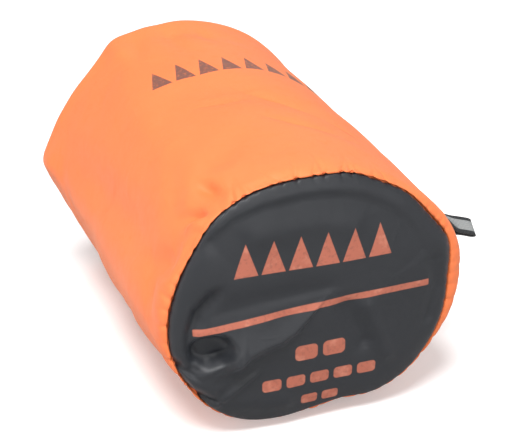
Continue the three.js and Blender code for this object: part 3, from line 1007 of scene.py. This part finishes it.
class BIVVY_OT_panel(bpy.types.Operator):
    """The dark end panel: a sheet with a rolled edge, a dimple and a fold, turned into its seam"""
    bl_idname = "bivvy.panel"
    bl_label = "End Panel"

    def execute(self, context):
        scene = context.scene
        sizes = scene.bivvy_panel
        panel = add_new(bpy.ops.mesh.primitive_grid_add, "panel_cloth",
                        x_subdivisions=PANEL_GRID, y_subdivisions=PANEL_GRID, size=2)
        share, degrees = disc_places(read_points(panel.data))
        write_points(panel.data, panel_points(share, degrees))
        with editing(panel, "EDGE") as shape:
            for edge in shape.edges:
                edge.select_set(edge.is_boundary)
            bpy.ops.mesh.extrude_region_move(TRANSFORM_OT_translate={"value": (0, sizes.turned_edge, 0)})
            bpy.ops.mesh.select_all(action="SELECT")
            bpy.ops.mesh.normals_make_consistent(inside=False)
        if panel.data.polygons[0].normal.y > 0:
            panel.data.flip_normals()
        corners = read_whole(panel.data.loops, "vertex_index")
        write_flat_places(panel.data, read_points(panel.data)[corners][:, [0, 2]])
        apply_modifier(panel, "SOLIDIFY", thickness=sizes.thickness, offset=-1, use_even_offset=False)
        choose(panel)
        bpy.ops.object.shade_smooth_by_angle(angle=math.radians(50))
        finish_panel_cloth(panel, scene.bivvy_colours, sizes)
        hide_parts("end_panel")
        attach(panel, "root")
        return {"FINISHED"}


# Haul loop

def catmull(values, steps):
    """Smooth curve through values at whole steps."""
    padded = np.concatenate([[2 * values[0] - values[1]], values, [2 * values[-1] - values[-2]]])
    whole = np.clip(np.floor(steps).astype(int), 0, len(values) - 2)
    part = steps - whole
    a, b, c, d = (padded[whole + step] for step in range(4))
    return b + 0.5 * part * (c - a + part * (2 * a - 5 * b + 4 * c - d + part * (3 * (b - c) + d - a)))


def loop_line(count):
    """The tape's line in its own plane: places out of the sack and up from its middle, and length."""
    upper = [(out * MM, (gap / 2 + 0.5) * MM) for out, gap in LOOP_ROWS]
    lower = [(out, -rise) for out, rise in reversed(upper)]
    route = np.array([*upper, (LOOP_REACH - 0.5 * MM, 0.0), *lower])
    steps = np.linspace(0, len(route) - 1, count * 4)
    fine = np.stack([catmull(route[:, side], steps) for side in (0, 1)], axis=1)
    passed = np.append(0, np.cumsum(np.hypot(*np.diff(fine, axis=0).T)))
    even = np.linspace(0, passed[-1], count)
    out, rise = (np.interp(even, passed, fine[:, side]) for side in (0, 1))
    return out, rise, passed[-1]


class BIVVY_OT_loop(bpy.types.Operator):
    """The haul loop: a narrow woven tape caught in the lengthwise seam"""
    bl_idname = "bivvy.loop"
    bl_label = "Haul Loop"

    def execute(self, context):
        scene = context.scene
        sizes = scene.bivvy_loop
        tape = add_new(bpy.ops.mesh.primitive_grid_add, "loop_tape",
                       x_subdivisions=8, y_subdivisions=LOOP_STEPS, size=2)
        points = read_points(tape.data)
        width = points[:, 0] * sizes.tape_width / 2
        steps = (points[:, 1] + 1) / 2 * LOOP_STEPS
        *line, length = loop_line(LOOP_STEPS + 1)
        out, rise = (np.interp(steps, np.arange(LOOP_STEPS + 1), places) for places in line)
        low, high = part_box("haul_loop")
        turn = np.radians(LOOP_TWIST) * smooth_step(out, LOOP_FLAT_FROM, LOOP_FLAT_AT)
        sag = LOOP_DROOP * (np.maximum(0, out - LOOP_FLAT_FROM) / (LOOP_REACH - LOOP_FLAT_FROM)) ** 1.5
        root_up = axis_height(LOOP_ALONG) + low.x * math.tan(math.radians(SEAM_DEGREES))
        write_points(tape.data, np.stack([
            low.x + out,
            (low.y + high.y) / 2 + width * np.cos(turn) - rise * np.sin(turn),
            root_up + width * np.sin(turn) + rise * np.cos(turn) - sag], axis=1))
        flat = np.stack([width, steps / LOOP_STEPS * length], axis=1)
        write_flat_places(tape.data, flat[read_whole(tape.data.loops, "vertex_index")])
        apply_modifier(tape, "SOLIDIFY", thickness=sizes.tape_thickness, offset=0)
        apply_modifier(tape, "BEVEL", width=0.2 * MM, segments=2, limit_method="ANGLE")
        choose(tape)
        bpy.ops.object.shade_smooth_by_angle(angle=math.radians(40))
        finish_tape(tape, scene.bivvy_colours, sizes)
        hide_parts("haul_loop")
        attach(tape, "root")
        return {"FINISHED"}


# Stitches

def one_stitch(sizes):
    """A short stitch along Z, thickest in its middle."""
    stitch = add_new(bpy.ops.mesh.primitive_uv_sphere_add, "first_stitch",
                     segments=8, ring_count=5, radius=0.5)
    with editing(stitch):
        bpy.ops.mesh.select_all(action="SELECT")
        bpy.ops.transform.resize(value=(sizes.thread, sizes.thread, sizes.length))
    bpy.ops.object.shade_smooth()
    return stitch


def on_cloth(sack, start, direction):
    """Point and normal of the sack's cloth, looked for from a start in a direction."""
    found, point, normal, face = sack.ray_cast(start, direction)
    if not found:
        raise RuntimeError("a stitch finds no cloth under it")
    return point, normal


def barrel_place(sack, degrees, along):
    outwards = Vector((math.cos(math.radians(degrees)), 0, math.sin(math.radians(degrees))))
    start = Vector((0, SEAM_Y + along, axis_height(along))) + outwards * SACK_LENGTH
    return on_cloth(sack, start, -outwards)


def mouth_place(sack, degrees, reach):
    turn = math.radians(degrees)
    start = Vector((reach * math.cos(turn), SACK_LENGTH, AXIS_AT_MOUTH + reach * math.sin(turn)))
    return on_cloth(sack, start, Vector((0, -1, 0)))


def stitch_places(sack, sizes):
    """Each stitch's point, normal and direction: along the lengthwise seam, and round the mouth's hem."""
    pitch = sizes.length + sizes.gap
    margin = 5 * MM
    beside = SEAM_DEGREES + math.degrees(sizes.beside_seam / SACK_RADIUS)
    places = []
    along = margin
    while along < SACK_LENGTH - margin:
        point, normal = barrel_place(sack, beside, along)
        ahead, normal_ahead = barrel_place(sack, beside, along + 0.5 * MM)
        places.append((point, normal, ahead - point))
        along += pitch
    count = round(2 * math.pi * sizes.hem_reach / pitch)
    for number in range(count):
        degrees = 360 * number / count
        point, normal = mouth_place(sack, degrees, sizes.hem_reach)
        ahead, normal_ahead = mouth_place(sack, degrees + 1, sizes.hem_reach)
        places.append((point, normal, ahead - point))
    return places


class BIVVY_OT_stitches(bpy.types.Operator):
    """Sewing thread along the lengthwise seam and round the hem of the mouth"""
    bl_idname = "bivvy.stitches"
    bl_label = "Stitches"

    def execute(self, context):
        scene = context.scene
        sizes = scene.bivvy_stitch
        sack = bpy.data.objects["sack_cloth"]
        context.view_layer.update()
        first = one_stitch(sizes)
        stitches = []
        for point, normal, direction in stitch_places(sack, sizes):
            stitch = bpy.data.objects.new("stitch", first.data.copy())
            scene.collection.objects.link(stitch)
            forward = direction.normalized()
            side = forward.cross(normal).normalized()
            turned = Matrix((side, side.cross(forward), forward)).transposed().to_4x4()
            middle = point + normal * sizes.thread * STITCH_RISE
            stitch.data.transform(Matrix.Translation(middle) @ turned)
            stitches.append(stitch)
        bpy.data.objects.remove(first)
        choose(stitches[0])
        for stitch in stitches:
            stitch.select_set(True)
        bpy.ops.object.join()
        row = context.active_object
        row.name = "seam_stitches"
        finish_thread(row, scene.bivvy_colours)
        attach(row, "root")
        return {"FINISHED"}


# Stage

def aim(thing, target):
    direction = Vector(target) - thing.location
    thing.rotation_euler = direction.to_track_quat("-Z", "Y").to_euler()


class BIVVY_OT_stage(bpy.types.Operator):
    """A pale floor, soft studio light and the camera"""
    bl_idname = "bivvy.stage"
    bl_label = "Stage"

    def execute(self, context):
        scene = context.scene
        settings = scene.bivvy_stage
        floor = add_new(bpy.ops.mesh.primitive_plane_add, "floor", size=8, location=(0, 0, 0))
        finish_floor(floor, settings.floor)
        for name, (place, width) in LIGHTS.items():
            light = add_new(bpy.ops.object.light_add, f"{name}_light", type="AREA", location=place)
            light.data.shape = "DISK"
            light.data.size = width
            light.data.energy = getattr(settings, name)
            aim(light, (0, 0, AXIS_AT_PANEL))
        world = bpy.data.worlds.new("Studio")
        world.use_nodes = True
        light_sky(world.node_tree, settings.sky)
        scene.world = world
        scene.view_settings.view_transform = "Standard"
        camera = add_new(bpy.ops.object.camera_add, "camera", location=settings.camera_place)
        camera.data.lens = settings.lens
        camera.data.sensor_width = 36
        aim(camera, settings.camera_target)
        scene.camera = camera
        return {"FINISHED"}


class BIVVY_PT_sidebar(bpy.types.Panel):
    """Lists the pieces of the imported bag"""
    bl_label = "Packed Bag"
    bl_idname = "BIVVY_PT_sidebar"
    bl_space_type = "VIEW_3D"
    bl_region_type = "UI"
    bl_category = "Packed Bag"

    def draw(self, context):
        for operator in PIECE_OPERATORS:
            self.layout.operator(operator.bl_idname)


SETTINGS = {
    "bivvy_sack": SackSizes,
    "bivvy_panel": PanelSizes,
    "bivvy_loop": LoopSizes,
    "bivvy_stitch": StitchSizes,
    "bivvy_colours": ClothColours,
    "bivvy_stage": StageSettings,
}
PIECE_OPERATORS = (
    BIVVY_OT_sack, BIVVY_OT_panel, BIVVY_OT_loop, BIVVY_OT_stitches, BIVVY_OT_stage)
CLASSES = (*SETTINGS.values(), *PIECE_OPERATORS, BIVVY_PT_sidebar)


def register():
    for kind in CLASSES:
        bpy.utils.register_class(kind)
    for name, kind in SETTINGS.items():
        setattr(bpy.types.Scene, name, bpy.props.PointerProperty(type=kind))


def unregister():
    for name in SETTINGS:
        delattr(bpy.types.Scene, name)
    for kind in reversed(CLASSES):
        bpy.utils.unregister_class(kind)


def main():
    register()
    bpy.ops.bivvy.sack()
    bpy.ops.bivvy.panel()
    bpy.ops.bivvy.loop()
    bpy.ops.bivvy.stitches()
    bpy.ops.bivvy.stage()


if __name__ == "__main__":
    main()
